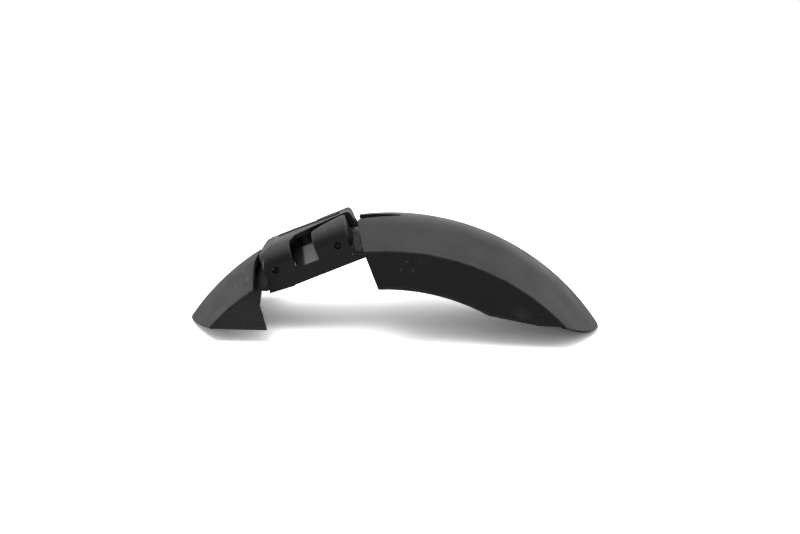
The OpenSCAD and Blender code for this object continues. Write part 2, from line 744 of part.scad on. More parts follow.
front_blade();
rear_blade();
saddle();
bracket_housing();
side_screw(-1, -1);  // front_side_screw_left
side_screw(-1, 1);  // front_side_screw_right
side_screw(1, -1);  // rear_side_screw_left
side_screw(1, 1);  // rear_side_screw_right
side_insert(-1, -1);  // front_side_insert_left
side_insert(-1, 1);  // front_side_insert_right
side_insert(1, -1);  // rear_side_insert_left
side_insert(1, 1);  // rear_side_insert_right
blade_screw(front_a, -1);  // front_blade_screw_left
blade_screw(front_a, 1);  // front_blade_screw_right
blade_screw(rear_a, -1);  // rear_blade_screw_left
blade_screw(rear_a, 1);  // rear_blade_screw_right
blade_washer(front_a, -1);  // front_blade_washer_left
blade_washer(front_a, 1);  // front_blade_washer_right
blade_washer(rear_a, -1);  // rear_blade_washer_left
blade_washer(rear_a, 1);  // rear_blade_washer_right
blade_insert(front_a, -1);  // front_blade_insert_left
blade_insert(front_a, 1);  // front_blade_insert_right
blade_insert(rear_a, -1);  // rear_blade_insert_left
blade_insert(rear_a, 1);  // rear_blade_insert_right
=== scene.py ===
"""Looks of a small bicycle mudguard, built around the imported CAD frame.

Lengths in the geometry code are millimetres in the wheel's frame: x fore and aft, y across, z up, with the
axle at the origin. to_row() turns them into the row frame's metres, whose floor lies FLOOR_Z above the axle.
"""
import math

import bmesh
import bpy
import numpy as np
from mathutils import Matrix, Vector


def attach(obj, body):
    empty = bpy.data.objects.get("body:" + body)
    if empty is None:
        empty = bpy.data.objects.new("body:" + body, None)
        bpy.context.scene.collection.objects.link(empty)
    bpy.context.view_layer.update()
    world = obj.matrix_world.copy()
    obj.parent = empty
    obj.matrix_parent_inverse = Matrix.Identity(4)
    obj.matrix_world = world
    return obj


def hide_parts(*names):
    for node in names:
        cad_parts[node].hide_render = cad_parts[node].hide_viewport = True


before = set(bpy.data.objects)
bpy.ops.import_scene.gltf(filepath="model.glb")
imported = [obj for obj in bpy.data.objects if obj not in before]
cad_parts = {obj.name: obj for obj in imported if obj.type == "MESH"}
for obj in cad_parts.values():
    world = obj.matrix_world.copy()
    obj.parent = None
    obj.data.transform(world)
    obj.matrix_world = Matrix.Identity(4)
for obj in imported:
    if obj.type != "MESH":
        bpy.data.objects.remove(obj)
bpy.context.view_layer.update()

# The arch: a round ridge between two straight flanks, over flanges that hang at HALF_W
CROWN_R = 150.0
HALF_W = 45.0
WALL = 2.5
RIDGE_R = 54.0
FLANK = math.radians(16.5)
TIP = 34.0
FLOOR_Z = (CROWN_R - WALL) * math.sin(math.radians(TIP))
# Slope of the bracket's axis
TILT = math.radians(23.2)
# Rounding of the sheet's free edges, and of the crease between the crown and a flange
EDGE_R = 0.35
CREASE_FILLET = 0.22
MIN_FILLET = 0.1
FILLET_TURN = math.pi / 2 - FLANK
FILLET_STEPS = 5

# How the blades' sheets are meshed
LAYERS = 11
FLANGE_START = 0.004
RIM_STEP = 0.15
BATCH = 400
MERGE_M = 2e-6
TINY_M = 1e-6
END_COLUMNS = (0.0006, 0.0014, 0.0024, 0.0036, 0.005)
FIRST_COLUMN = 0.012


def to_row(points):
    """Wheel frame millimetres to row frame metres."""
    p = np.array(points, float).reshape(-1, 3)
    return (p - (0.0, 0.0, FLOOR_Z)) / 1000.0


def polar(radius, angle):
    """The (x, z) at a radius and at an angle in degrees from +X."""
    a = math.radians(angle)
    return radius * np.array([math.cos(a), math.sin(a)])


def crown(y, depth=0.0):
    """Radius of the crown's face at y, depth below the outer face."""
    y = np.abs(y)
    big, ridge = CROWN_R - depth, RIDGE_R - depth
    near = big - ridge + np.sqrt(np.maximum(ridge**2 - np.minimum(y, ridge) ** 2, 0))
    far = big - ridge * (1 - math.cos(FLANK)) - (y - ridge * math.sin(FLANK)) * math.tan(FLANK)
    return np.where(y <= ridge * math.sin(FLANK), near, far)


CREASE_R = float(crown(HALF_W))


def angle_at(u, radius):
    """Angle from +X at which a circle of that radius crosses u on the bracket's axis."""
    return math.degrees(TILT + math.acos(u / radius))


def fillet_start(depth, fillet):
    """The y at which the crown's flank meets the crease fillet."""
    return HALF_W - depth - fillet * math.tan(FILLET_TURN / 2) * math.cos(FLANK)


def section(depth, lanes):
    """(radius, y) of each lane of the crown and its crease fillets, at a depth below the outer face.

    A lane is (kind, share, side): "crown" with its y on the outer face, or "fillet" with a share of the turn.
    """
    fillet = max(CREASE_FILLET - depth, MIN_FILLET)
    start = fillet_start(depth, fillet)
    centre_y = HALF_W - depth - fillet
    centre_r = float(crown(start, depth)) - fillet * math.cos(FLANK)
    out = []
    for kind, share, side in lanes:
        if kind == "crown":
            y = share / fillet_start(0, CREASE_FILLET) * start
            out.append((float(crown(y, depth)), side * y))
        else:
            a = FLANK + FILLET_TURN * share
            out.append((centre_r + fillet * math.cos(a), side * (centre_y + fillet * math.sin(a))))
    return out


def blade_lanes(crown_ys):
    """The lanes from one crease over the crown to the other, and the y that each one's ends follow."""
    fillet = [("fillet", k / FILLET_STEPS, 1) for k in range(1, FILLET_STEPS + 1)]
    half = [("crown", y, 1) for y in crown_ys] + fillet
    lanes = [(kind, share, -1) for kind, share, _ in reversed(half)] + half[1:]
    half_ys = [*crown_ys, *[HALF_W] * FILLET_STEPS]
    return lanes, half_ys[::-1] + half_ys[1:]


def sheet_layers(lanes, theta, outline, columns, rows, gusset):
    """The blade's sheet as a grid of points, at even depths from its outer face to its inner one.

    outline is the flange's lower edge, and gusset(k) is how far the flange's rear edge stands back and up at a
    share k of the flange's height.
    """
    fade = np.maximum(1 - columns / GUSSET_FADE, 0)
    layers = []
    for depth in np.linspace(0, WALL, LAYERS):
        radius, y = np.array(section(depth, lanes)).T[:, :, None]
        across = np.repeat(y, len(columns), 1)
        arch = np.stack([radius * np.cos(theta), across, radius * np.sin(theta)], 2)
        crease_x, _, crease_z = arch[-1].T
        flange = []
        for k in rows:
            back, rise = gusset(k) if gusset else (0, 0)
            x = crease_x * (1 - k) + outline[:, 0] * k + back * fade
            z = crease_z * (1 - k) + outline[:, 1] * k + rise * fade
            flange.append(np.stack([x, np.full(len(columns), HALF_W - depth), z], 1))
        flange = np.array(flange)
        layers.append(np.concatenate([flange[::-1] * (1, -1, 1), arch, flange], 0))
    return np.array(layers)


def sheet_at(layers, depth):
    """The sheet's points at a depth given for each of them."""
    place = np.clip(depth / WALL * (LAYERS - 1), 0, LAYERS - 1)
    low = np.minimum(place.astype(int), LAYERS - 2)
    share = (place - low)[..., None]
    i, j = np.indices(depth.shape)
    points = layers[low, i, j] * (1 - share) + layers[low + 1, i, j] * share
    return points.reshape(-1, 3)


def edge_drop(face):
    """How far each point of the outer face sinks so that the sheet's free edges are round."""
    rim = np.concatenate([face[:, 0], face[-1], face[::-1, -1], face[0, ::-1]])
    fine = []
    for a, b in zip(rim, np.roll(rim, -1, 0)):
        steps = max(int(np.linalg.norm(b - a) / RIM_STEP), 1)
        fine.extend(a + (b - a) * k / steps for k in range(steps))
    fine = np.array(fine)
    flat = face.reshape(-1, 3)
    dist = np.empty(len(flat))
    for start in range(0, len(flat), BATCH):
        part = flat[start:start + BATCH]
        dist[start:start + BATCH] = np.sqrt(((part[:, None] - fine[None]) ** 2).sum(2).min(1))
    dist = np.minimum(dist, EDGE_R).reshape(face.shape[:2])
    return EDGE_R - np.sqrt(np.maximum(EDGE_R**2 - (EDGE_R - dist) ** 2, 0))


def sheet_faces(lanes, columns):
    """Quads of both faces of a closed sheet, and of the wall around its rim."""
    n = lanes * columns
    grid = np.arange(n).reshape(lanes, columns)
    faces = []
    for i in range(lanes - 1):
        for j in range(columns - 1):
            a, b, c, d = grid[i, j], grid[i, j + 1], grid[i + 1, j + 1], grid[i + 1, j]
            faces.append((a, b, c, d))
            faces.append((n + d, n + c, n + b, n + a))
    ring = [*grid[:, 0], *grid[-1, 1:], *grid[-2::-1, -1], *grid[0, -2:0:-1]]
    faces.extend((a, b, n + b, n + a) for a, b in zip(ring, ring[1:] + ring[:1]))
    return faces


def blade_mesh(name, crown_ys, tip_angle, edge_angle, flange_low, columns, flange_rows, gusset=None):
    """A blade as one closed, edge-rounded sheet of the blade's wall.

    tip_angle(y) and edge_angle(y) bound each lane. flange_low(s) is the (x, z) of the flange's lower outline,
    with s from 0 at the edge to 1 at the tip.
    """
    lanes, ys = blade_lanes(crown_ys)
    tips = np.array([tip_angle(y) for y in ys])
    edges = np.array([edge_angle(y) for y in ys])
    columns = np.array(columns)
    theta = np.radians(edges[:, None] + (tips - edges)[:, None] * columns)
    outline = np.array([flange_low(s) for s in columns])
    rows = [FLANGE_START, *np.linspace(0, 1, flange_rows + 1)[1:]]
    layers = sheet_layers(lanes, theta, outline, columns, rows, gusset)
    drop = edge_drop(layers[0])
    points = np.concatenate([sheet_at(layers, drop), sheet_at(layers, WALL - drop)])
    return make(name, points, sheet_faces(*drop.shape))


def make(name, verts, faces):
    """A smooth mesh object from wheel frame points."""
    mesh = bpy.data.meshes.new(name)
    mesh.from_pydata([tuple(v) for v in to_row(verts)], [], [tuple(int(k) for k in f) for f in faces])
    bm = bmesh.new()
    bm.from_mesh(mesh)
    bmesh.ops.remove_doubles(bm, verts=bm.verts, dist=MERGE_M)
    bmesh.ops.dissolve_degenerate(bm, edges=bm.edges, dist=TINY_M)
    bmesh.ops.recalc_face_normals(bm, faces=bm.faces)
    bm.to_mesh(mesh)
    bm.free()
    shade_smooth(mesh)
    return add_object(name, mesh)


def shade_smooth(mesh):
    for p in mesh.polygons:
        p.use_smooth = True


def add_object(name, data):
    """An object in the scene for a mesh, a camera or a lamp."""
    obj = bpy.data.objects.new(name, data)
    bpy.context.scene.collection.objects.link(obj)
    return obj


def spaced(count):
    """Column positions from 0 to 1 that crowd towards both ends, for the rounded edges."""
    middle = np.linspace(FIRST_COLUMN, 1 - FIRST_COLUMN, count)
    return [0.0, *END_COLUMNS, *middle, *[1 - e for e in reversed(END_COLUMNS)], 1.0]


# Front blade: its edge at the bracket with the nose, its swept tip and its level flange
FRONT_EDGE_U = -28.4
NOSE_L = 3.0
NOSE_W = 20.0
FRONT_TIP_SWEEP = 7.0
FRONT_TIP_POWER = 1.56
FRONT_LOW_Z = 90.7
FRONT_LEAN = math.radians(18.6)
# The gusset stands back from the top of the flange's rear edge
GUSSET_L = 4.2
GUSSET_RISE = 1.3
GUSSET_SHARE = 7.3 / 23.6
GUSSET_FADE = 0.25
STEP_BACK = 0.75


def front_tip(y):
    return 180 - TIP - FRONT_TIP_SWEEP * (y / HALF_W) ** FRONT_TIP_POWER


def front_edge(y):
    u = FRONT_EDGE_U + NOSE_L * (1 + math.cos(math.pi * min(1, y / NOSE_W))) / 2
    return angle_at(u, float(crown(y)))


def front_low(s):
    """The front flange's lower outline, from its rear corner forward along the level edge."""
    top = polar(CREASE_R, front_edge(HALF_W))
    corner = np.array([top[0] + (top[1] - FRONT_LOW_Z) * math.tan(FRONT_LEAN), FRONT_LOW_Z])
    tip = np.array([-math.sqrt(CREASE_R**2 - FRONT_LOW_Z**2), FRONT_LOW_Z])
    return corner + (tip - corner) * s


def front_gusset(k):
    """How far the front flange's rear edge stands back and up at a share k of its height."""
    if k > GUSSET_SHARE:
        return STEP_BACK * (1 - k) / (1 - GUSSET_SHARE), 0
    return GUSSET_L + (STEP_BACK - GUSSET_L) * k / GUSSET_SHARE, GUSSET_RISE * (1 - k / GUSSET_SHARE)


# Rear blade: its edge with the slot, its swept tip and its flange, whose arc ends in a kink and a long taper
REAR_EDGE_U = 38.2
REAR_EDGE_SWEEP = 2.2
REAR_TIP_SWEEP = 10.0
REAR_TIP_POWER = 1.9
REAR_TIP = TIP + REAR_TIP_SWEEP
SLOT_W = 5.0
SLOT_L = 24.5
CORNER_R = 2.0
CORNER_OVERLAP = 0.6
SLOT_FLANK_Y = 3.9
FLANGE_H = 22.0
REAR_CORNER_H = 0.93 * FLANGE_H
REAR_LEAN = math.radians(21.5)
KINK_ANGLE = 61.3
BEND_SHARE = 0.66
BEND_H = 0.6


def rear_tip(y):
    return TIP + REAR_TIP_SWEEP * (y / HALF_W) ** REAR_TIP_POWER


def rear_edge(y):
    u = REAR_EDGE_U + REAR_EDGE_SWEEP * (y / (HALF_W + 1)) ** 2
    slot = SLOT_L * (1 - (y / SLOT_W) ** 2) if y < SLOT_W else 0
    corner_y = SLOT_W + CORNER_R - CORNER_OVERLAP
    corner = CORNER_R - math.sqrt(max(CORNER_R**2 - (y - corner_y) ** 2, 0)) if y < corner_y else 0
    u += max(slot, corner) if y > SLOT_FLANK_Y else slot
    return angle_at(u, float(crown(y)))


def rear_low(s):
    """The rear flange's lower outline: an arc, a kink and a long taper to the tip."""
    low_r = CREASE_R - FLANGE_H
    start = rear_edge(HALF_W)
    corner = polar(CREASE_R, start) + (REAR_CORNER_H * math.tan(REAR_LEAN), -REAR_CORNER_H)
    first = math.degrees(math.atan2(corner[1], corner[0]))
    arc = (start - KINK_ANGLE) / (start - REAR_TIP)
    if s < arc:
        return polar(low_r, first + (KINK_ANGLE - first) * s / arc)
    kink = polar(low_r, KINK_ANGLE)
    tip = polar(CREASE_R, REAR_TIP)
    bend = np.array([kink[0] + BEND_SHARE * (tip[0] - kink[0]), tip[1] + BEND_H])
    k = (s - arc) / (1 - arc)
    share = np.linalg.norm(bend - kink) / (np.linalg.norm(bend - kink) + np.linalg.norm(tip - bend))
    if k < share:
        return kink + (bend - kink) * k / share
    return bend + (tip - bend) * (k - share) / (1 - share)


# Half widths at which the blades' lanes lie: even over the crown, and close together across the slot's flank
FINE_GAP = 1.5
fine_ys = [FINE_GAP * k for k in range(13)]
wide_ys = [20, 22.5, 25, 27.5, 30, 32.5, 35, 37.5, 40, 42, HALF_W]
slot_ys = [0, 0.3, 0.7, 1.1, 1.5, 1.9, 2.3, 2.7, 3.1, 3.5, 3.8, 4.1, 4.3, 4.5, 4.65, 4.8, 4.9, 5.0, 5.1, 5.3,
           5.6, 6.0, 6.4, 7.0]
front_blade = blade_mesh("front_blade_skin", fine_ys + wide_ys, front_tip, front_edge, front_low,
                         spaced(34), 13, front_gusset)
rear_blade = blade_mesh("rear_blade_skin", slot_ys + fine_ys[6:] + wide_ys, rear_tip, rear_edge, rear_low,
                        spaced(110), 12)


# Hollow bosses inside the blades, at the blade screws
BOSS_R = 4.0
BOSS_HOLE_R = 2.8
BOSS_Y = 10.0
BOSS_LOW = 140.64
BOSS_SUNK = 1.2
BOSS_CHAMFER = 0.2
BOSS_SIDES = 48
FRONT_SCREWS = 130.7
REAR_SCREWS = 86.7
# The front blade's tab under the hood
TAB_W = 7.0
TAB_END_U = -19.7
TAB_TOP = 147.8
TAB_LOW = 145.0
TAB_CHAMFER = 0.3
TAB_STEPS = 24


def boss(name, angle, y):
    """A tube along the radius, from the saddle's seat up into the crown."""
    top = float(crown(y)) - BOSS_SUNK
    low = BOSS_LOW + BOSS_CHAMFER
    profile = [(BOSS_HOLE_R, low), (BOSS_HOLE_R + BOSS_CHAMFER, BOSS_LOW), (BOSS_R - BOSS_CHAMFER, BOSS_LOW),
               (BOSS_R, low), (BOSS_R, top), (BOSS_HOLE_R, top)]
    a = math.radians(angle)
    out = np.array([math.cos(a), 0, math.sin(a)])
    along = np.array([-math.sin(a), 0, math.cos(a)])
    verts = []
    for k in range(BOSS_SIDES):
        turn = 2 * math.pi * k / BOSS_SIDES
        side = along * math.cos(turn) + np.array([0, math.sin(turn), 0])
        verts.extend(out * r + side * radius + (0, y, 0) for radius, r in profile)
    return make(name, verts, ring_faces(len(profile), BOSS_SIDES, closed=True))


def ring_faces(around, steps, closed=False):
    """Quads between rings of points, which end where they began or in two flat caps."""
    spans = steps if closed else steps - 1
    faces = [(k * around + i, k * around + (i + 1) % around,
              (k + 1) % steps * around + (i + 1) % around, (k + 1) % steps * around + i)
             for k in range(spans) for i in range(around)]
    if not closed:
        faces += [tuple(range(around)), tuple((steps - 1) * around + i for i in reversed(range(around)))]
    return faces


def tab():
    """The front blade's tab, a strip that bends with the crown and has rounded rear corners."""
    end = angle_at(TAB_END_U, CROWN_R)
    side = [(TAB_LOW, TAB_CHAMFER), (TAB_LOW + TAB_CHAMFER, 0),
            (TAB_TOP - TAB_CHAMFER, 0), (TAB_TOP, TAB_CHAMFER)]
    verts = []
    for k in range(TAB_STEPS + 1):
        angle = FRONT_SCREWS + (end - FRONT_SCREWS) * math.sin(math.pi / 2 * k / TAB_STEPS)
        left = (angle - end) * math.radians(CROWN_R)
        half = TAB_W - CORNER_R + math.sqrt(max(CORNER_R**2 - max(CORNER_R - left, 0) ** 2, 0))
        for sign, points in ((-1, side), (1, reversed(side))):
            for radius, trim in points:
                x, z = polar(radius, angle)
                verts.append((x, sign * (half - trim), z))
    return make("front_tab", verts, ring_faces(2 * len(side), TAB_STEPS + 1))


inner_pieces = [tab()]
for end_name, angle in (("front", FRONT_SCREWS), ("rear", REAR_SCREWS)):
    for side_name, y in (("left", -BOSS_Y), ("right", BOSS_Y)):
        inner_pieces.append(boss(f"{end_name}_boss_{side_name}", angle, y))


# The housing's domed shoulder: a power curve from the vertical sides to the top
DOME_W = 25.4
DOME_TOP = 151.4
DOME_H = 12.0
DOME_POWER = 2.4
HOUSING_WALL = 2.5
# How the housing's and the saddle's skins are made
DOME_REACH = 0.09
DOME_START = 0.02
DOME_END = 1.02
HOUSING_VOXEL = 0.00027
SADDLE_VOXEL = 0.00034
SMOOTHING = 3
KEPT_FACES = 0.3


def onto_dome(mesh):
    """Moves the points that lie close to the shoulder's outer or inner dome onto its true curve.

    The mesh stands square to the bracket's axis, in metres.
    """
    points = np.empty(len(mesh.vertices) * 3)
    mesh.vertices.foreach_get("co", points)
    points = points.reshape(-1, 3) * 1000
    low = DOME_TOP - DOME_H - FLOOR_Z * math.cos(TILT)
    for inset in (0.0, HOUSING_WALL):
        y = np.abs(points[:, 1]) / (DOME_W - inset)
        z = (points[:, 2] - low + inset) / DOME_H
        near = (z > DOME_START) & (y < DOME_END)
        y, z = np.maximum(y, 1e-4), np.maximum(z, 1e-4)
        gap = y**DOME_POWER + z**DOME_POWER - 1
        slope_y = DOME_POWER * y ** (DOME_POWER - 1) / (DOME_W - inset) * np.sign(points[:, 1])
        slope_z = DOME_POWER * z ** (DOME_POWER - 1) / DOME_H
        step = gap / (slope_y**2 + slope_z**2)
        near &= np.abs(step) * np.sqrt(slope_y**2 + slope_z**2) < DOME_REACH
        points[near, 1] -= (step * slope_y)[near]
        points[near, 2] -= (step * slope_z)[near]
    mesh.vertices.foreach_set("co", (points / 1000).ravel())
    mesh.update()


def apply_modifiers(obj):
    """Swaps the object's mesh for its evaluated one."""
    graph = bpy.context.evaluated_depsgraph_get()
    result = bpy.data.meshes.new_from_object(obj.evaluated_get(graph))
    obj.modifiers.clear()
    obj.data = result


def softened(name, node, voxel, dome=False):
    """A fine copy of a CAD node with rounded edges, remeshed square to the bracket's axis."""
    turn = Matrix.Rotation(TILT, 4, "Y")
    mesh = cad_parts[node].data.copy()
    mesh.transform(turn)
    obj = add_object(name, mesh)
    grid = obj.modifiers.new("grid", "REMESH")
    grid.mode = "VOXEL"
    grid.voxel_size = voxel
    even = obj.modifiers.new("even", "SMOOTH")
    even.factor = 0.5
    even.iterations = SMOOTHING
    apply_modifiers(obj)
    if dome:
        onto_dome(obj.data)
    thin = obj.modifiers.new("thin", "DECIMATE")
    thin.ratio = KEPT_FACES
    apply_modifiers(obj)
    obj.data.transform(turn.inverted())
    shade_smooth(obj.data)
    return obj


housing = softened("bracket_housing_skin", "bracket_housing", HOUSING_VOXEL, dome=True)
saddle = softened("saddle_skin", "saddle", SADDLE_VOXEL)


def value(socket, given):
    """Feeds a socket with another socket or a number."""
    if isinstance(given, (int, float)):
        socket.default_value = given
    else:
        socket.node.id_data.links.new(given, socket)


def calculate(nodes, operation, first, second):
    """One step of arithmetic."""
    step = nodes.new("ShaderNodeMath")
    step.operation = operation
    value(step.inputs[0], first)
    value(step.inputs[1], second)
    return step.outputs[0]


def grade(nodes, given, start, end, low=0.0, high=1.0):
    """A smooth step from low to high as a value goes from start to end."""
    step = nodes.new("ShaderNodeMapRange")
    step.interpolation_type = "SMOOTHSTEP"
    for name, level in (("From Min", start), ("From Max", end), ("To Min", low), ("To Max", high)):
        value(step.inputs[name], level)
    value(step.inputs["Value"], given)
    return step.outputs["Result"]


def noise(nodes, coord, scale, detail=3.0):
    """Cloudy variation between 0 and 1."""
    cloud = nodes.new("ShaderNodeTexNoise")
    cloud.inputs["Scale"].default_value = scale
    cloud.inputs["Detail"].default_value = detail
    value(cloud.inputs["Vector"], coord)
    return cloud.outputs["Fac"]


def turned(nodes, coord, rotation, scale):
    """Coordinates turned and stretched, for streaks and placed marks."""
    mapping = nodes.new("ShaderNodeMapping")
    mapping.vector_type = "POINT"
    mapping.inputs["Rotation"].default_value = rotation
    mapping.inputs["Scale"].default_value = scale
    value(mapping.inputs["Vector"], coord)
    return mapping.outputs["Vector"]


def measured(nodes, operation, first, second=None):
    """One step of vector arithmetic, on a socket and a fixed vector."""
    step = nodes.new("ShaderNodeVectorMath")
    step.operation = operation
    value(step.inputs[0], first)
    if second is not None:
        step.inputs[1].default_value = second
    return step.outputs["Vector" if operation == "SUBTRACT" else "Value"]


def grey(nodes, factor, dark, light):
    """A grey between two others."""
    mix = nodes.new("ShaderNodeMix")
    mix.data_type = "RGBA"
    value(mix.inputs["Factor"], factor)
    for name, level in (("A", dark), ("B", light)):
        if isinstance(level, float):
            mix.inputs[name].default_value = (level, level, level, 1)
        else:
            value(mix.inputs[name], level)
    return mix.outputs["Result"]


def scratch_and_highlight_mark(nodes, coord, centre, size, lean):
    """A soft streak of the given half sizes that leans in the side view by some degrees."""
    shifted = measured(nodes, "SUBTRACT", coord, [c / 1000 for c in centre])
    stretched = turned(nodes, shifted, (0, math.radians(lean), 0), [1000 / v for v in size])
    return grade(nodes, measured(nodes, "LENGTH", stretched), 1.0, 0.35)


# Noise scales of the plastic, per metre: cloudy mottling, long scuffs, where they lie, dust and fine grain
MOTTLE_SCALE = 60
SCUFF_TURN = (0.1, 0.35, 0.3)
SCUFF_SCALE = (40, 900, 60)
PATCH_SCALE = 26
DUST_SCALE = 900
STREAK_SCALE = 1500
EDGE_SCALE = 180
GRAIN_SCALE = 2600
GRAIN_DEPTH = 0.0004
# The colour of scuffs, dust, worn edges and the painted edge highlights is this much lighter than the base
# colour
WEAR_AND_SHEEN_GAIN = 3.5
WEAR_AND_SHEEN_ADD = 0.06
# Spread of the colour and the roughness about their middle
DARKEST = 0.8
LIGHTEST = 1.45
SMOOTHER = 0.07
ROUGHER = 0.09
# Where the painted shade and light of the housing and the saddle change along the bracket's axis, over a short
# fade
HOOD_END = -17.0
SPINE_END = 27.0
NECK_END = -24.0
WINDOW_START = 0.4
WINDOW_END = 15.0
FOLDS_START = 25.5
FADE_L = 2.0
# Half width at which the saddle's flanks begin
FLANK_Y = 6.0
FOLD_SCALE = (1300, 120, 60)
# Shares of the base colour for the painted shade on the housing and behind the saddle's neck, and for the
# painted highlights on the saddle's folds; the grey of the painted reflection on the saddle's flanks in the
# windows
PAINTED_SHADE_SHARE = 0.25
INNER_SHADE_SHARE = 0.3
FOLD_HIGHLIGHT_SHARE = 1.3
FLANK_REFLECTION = 0.12


def scuffed(nodes, coord, scuffs):
    """Mask of long scuffs that lie in patches, and of specks of dust."""
    streak = noise(nodes, turned(nodes, coord, SCUFF_TURN, SCUFF_SCALE), 1.0, 2)
    patch = grade(nodes, noise(nodes, coord, PATCH_SCALE, 2), 0.5, 0.68)
    worn = calculate(nodes, "MULTIPLY", grade(nodes, streak, 0.62, 0.72), patch)
    specks = grade(nodes, noise(nodes, coord, DUST_SCALE, 0), 0.82, 0.86)
    return calculate(nodes, "MULTIPLY", calculate(nodes, "MAXIMUM", worn, specks), scuffs)


def worn_and_highlit_edges(nodes, coord, edge_wear_and_sheen):
    """Mask of the worn outer edges, which also paints highlights along them, broken up by noise."""
    point = nodes.new("ShaderNodeNewGeometry").outputs["Pointiness"]
    edge = calculate(nodes, "MULTIPLY", grade(nodes, point, 0.516, 0.55), edge_wear_and_sheen)
    broken = grade(nodes, noise(nodes, coord, EDGE_SCALE, 3), 0.35, 0.6, 0.35, 1.0)
    return calculate(nodes, "MULTIPLY", edge, broken)


def placed_marks(nodes, coord, marks):
    """Mask of the placed marks: scratches, dust, painted highlights and painted light.

    Each has a centre and half sizes in row frame millimetres, a lean in degrees and a strength.
    """
    streaky = grade(nodes, noise(nodes, coord, STREAK_SCALE, 1), 0.35, 0.6, 0.4, 1.0)
    marked = 0.0
    for centre, size, lean, strength in marks:
        mark = calculate(nodes, "MULTIPLY", scratch_and_highlight_mark(nodes, coord, centre, size, lean), streaky)
        marked = calculate(nodes, "MAXIMUM", marked, calculate(nodes, "MULTIPLY", mark, strength))
    return marked


def bracket_axes(nodes, coord):
    """The position along, across and square to the bracket's axis, in the wheel frame's millimetres."""
    axes = nodes.new("ShaderNodeSeparateXYZ")
    value(axes.inputs[0], turned(nodes, coord, (0, TILT, 0), (1000, 1000, 1000)))
    along = calculate(nodes, "ADD", axes.outputs["X"], FLOOR_Z * math.sin(TILT))
    height = calculate(nodes, "ADD", axes.outputs["Z"], FLOOR_Z * math.cos(TILT))
    return along, calculate(nodes, "ABSOLUTE", axes.outputs["Y"], 0.0), height


def housing_painted_shade(nodes, coord, colour, base):
    """Paints shade on the housing: darkens its inner, edge and lower faces behind the hood's front."""
    along, across, height = bracket_axes(nodes, coord)
    y = calculate(nodes, "DIVIDE", across, DOME_W)
    z = calculate(nodes, "DIVIDE", calculate(nodes, "SUBTRACT", height, DOME_TOP - DOME_H), DOME_H)
    level = calculate(nodes, "ADD", calculate(nodes, "POWER", y, DOME_POWER),
                      calculate(nodes, "POWER", calculate(nodes, "MAXIMUM", z, 0.0), DOME_POWER))
    inside = calculate(nodes, "MULTIPLY", grade(nodes, level, 0.95, 0.87),
                       grade(nodes, along, SPINE_END, SPINE_END - 1))
    back_and_up = (math.cos(TILT) - math.sin(TILT), 0, math.cos(TILT) + math.sin(TILT))
    facing = measured(nodes, "DOT_PRODUCT", nodes.new("ShaderNodeTexCoord").outputs["Normal"], back_and_up)
    hidden = calculate(nodes, "MAXIMUM", inside, grade(nodes, facing, -0.2, -0.5))
    hidden = calculate(nodes, "MULTIPLY", hidden, grade(nodes, along, HOOD_END, HOOD_END + FADE_L))
    return grey(nodes, hidden, colour, base * PAINTED_SHADE_SHARE)


def saddle_painted_light(nodes, coord, colour, base):
    """Paints light and shade on the saddle: shade behind its neck, a reflection on its flanks in the windows
    and highlights on streaks of its rear folds.
    """
    along, across, _ = bracket_axes(nodes, coord)
    colour = grey(nodes, grade(nodes, along, NECK_END, NECK_END + FADE_L), colour, base * INNER_SHADE_SHARE)
    in_window = calculate(nodes, "MULTIPLY", grade(nodes, along, WINDOW_START, WINDOW_START + 1.1 * FADE_L),
                          grade(nodes, along, WINDOW_END, WINDOW_END - FADE_L))
    in_window = calculate(nodes, "MULTIPLY", in_window, grade(nodes, across, FLANK_Y, FLANK_Y + FADE_L))
    colour = grey(nodes, in_window, colour, FLANK_REFLECTION)
    folds = noise(nodes, turned(nodes, coord, (0, TILT, 0), FOLD_SCALE), 1.0, 2)
    at_rear = calculate(nodes, "MULTIPLY", grade(nodes, along, FOLDS_START, FOLDS_START + FADE_L),
                        grade(nodes, folds, 0.42, 0.6))
    return grey(nodes, at_rear, colour, base * FOLD_HIGHLIGHT_SHARE)


def plastic(name, base, rough, grain=0.02, scuffs=0.2, metal=0.0, specular=0.5, edge_wear_and_sheen=0.0, marks=(),
            mark_level=0.0, light_and_shade=None):
    """Moulded plastic or metal: mottled colour, fine grain, scuffs, dust, worn edges with painted highlights,
    placed marks, and painted light and shade.
    """
    mat = bpy.data.materials.new(name)
    mat.use_nodes = True
    nodes = mat.node_tree.nodes
    bsdf = nodes["Principled BSDF"]
    bsdf.inputs["Metallic"].default_value = metal
    bsdf.inputs["Specular IOR Level"].default_value = specular
    coord = nodes.new("ShaderNodeTexCoord").outputs["Object"]
    cloud = noise(nodes, coord, MOTTLE_SCALE, 4)
    colour = grey(nodes, cloud, base * DARKEST, base * LIGHTEST)
    if light_and_shade:
        colour = light_and_shade(nodes, coord, colour, base)
    worn = scuffed(nodes, coord, scuffs)
    if edge_wear_and_sheen:
        worn = calculate(nodes, "MAXIMUM", worn, worn_and_highlit_edges(nodes, coord, edge_wear_and_sheen))
    # Scuffs, dust and worn edges take a lighter colour, which along the edges is also a painted highlight
    colour = grey(nodes, worn, colour, min(base * WEAR_AND_SHEEN_GAIN + WEAR_AND_SHEEN_ADD, 1.0))
    if marks:
        colour = grey(nodes, placed_marks(nodes, coord, marks), colour, mark_level)
    value(bsdf.inputs["Base Color"], colour)
    value(bsdf.inputs["Roughness"], grade(nodes, cloud, 0.2, 0.8, rough - SMOOTHER, rough + ROUGHER))
    bump = nodes.new("ShaderNodeBump")
    bump.inputs["Strength"].default_value = grain
    bump.inputs["Distance"].default_value = GRAIN_DEPTH
    value(bump.inputs["Height"], noise(nodes, coord, GRAIN_SCALE, 2))
    value(bsdf.inputs["Normal"], bump.outputs["Normal"])
    return mat
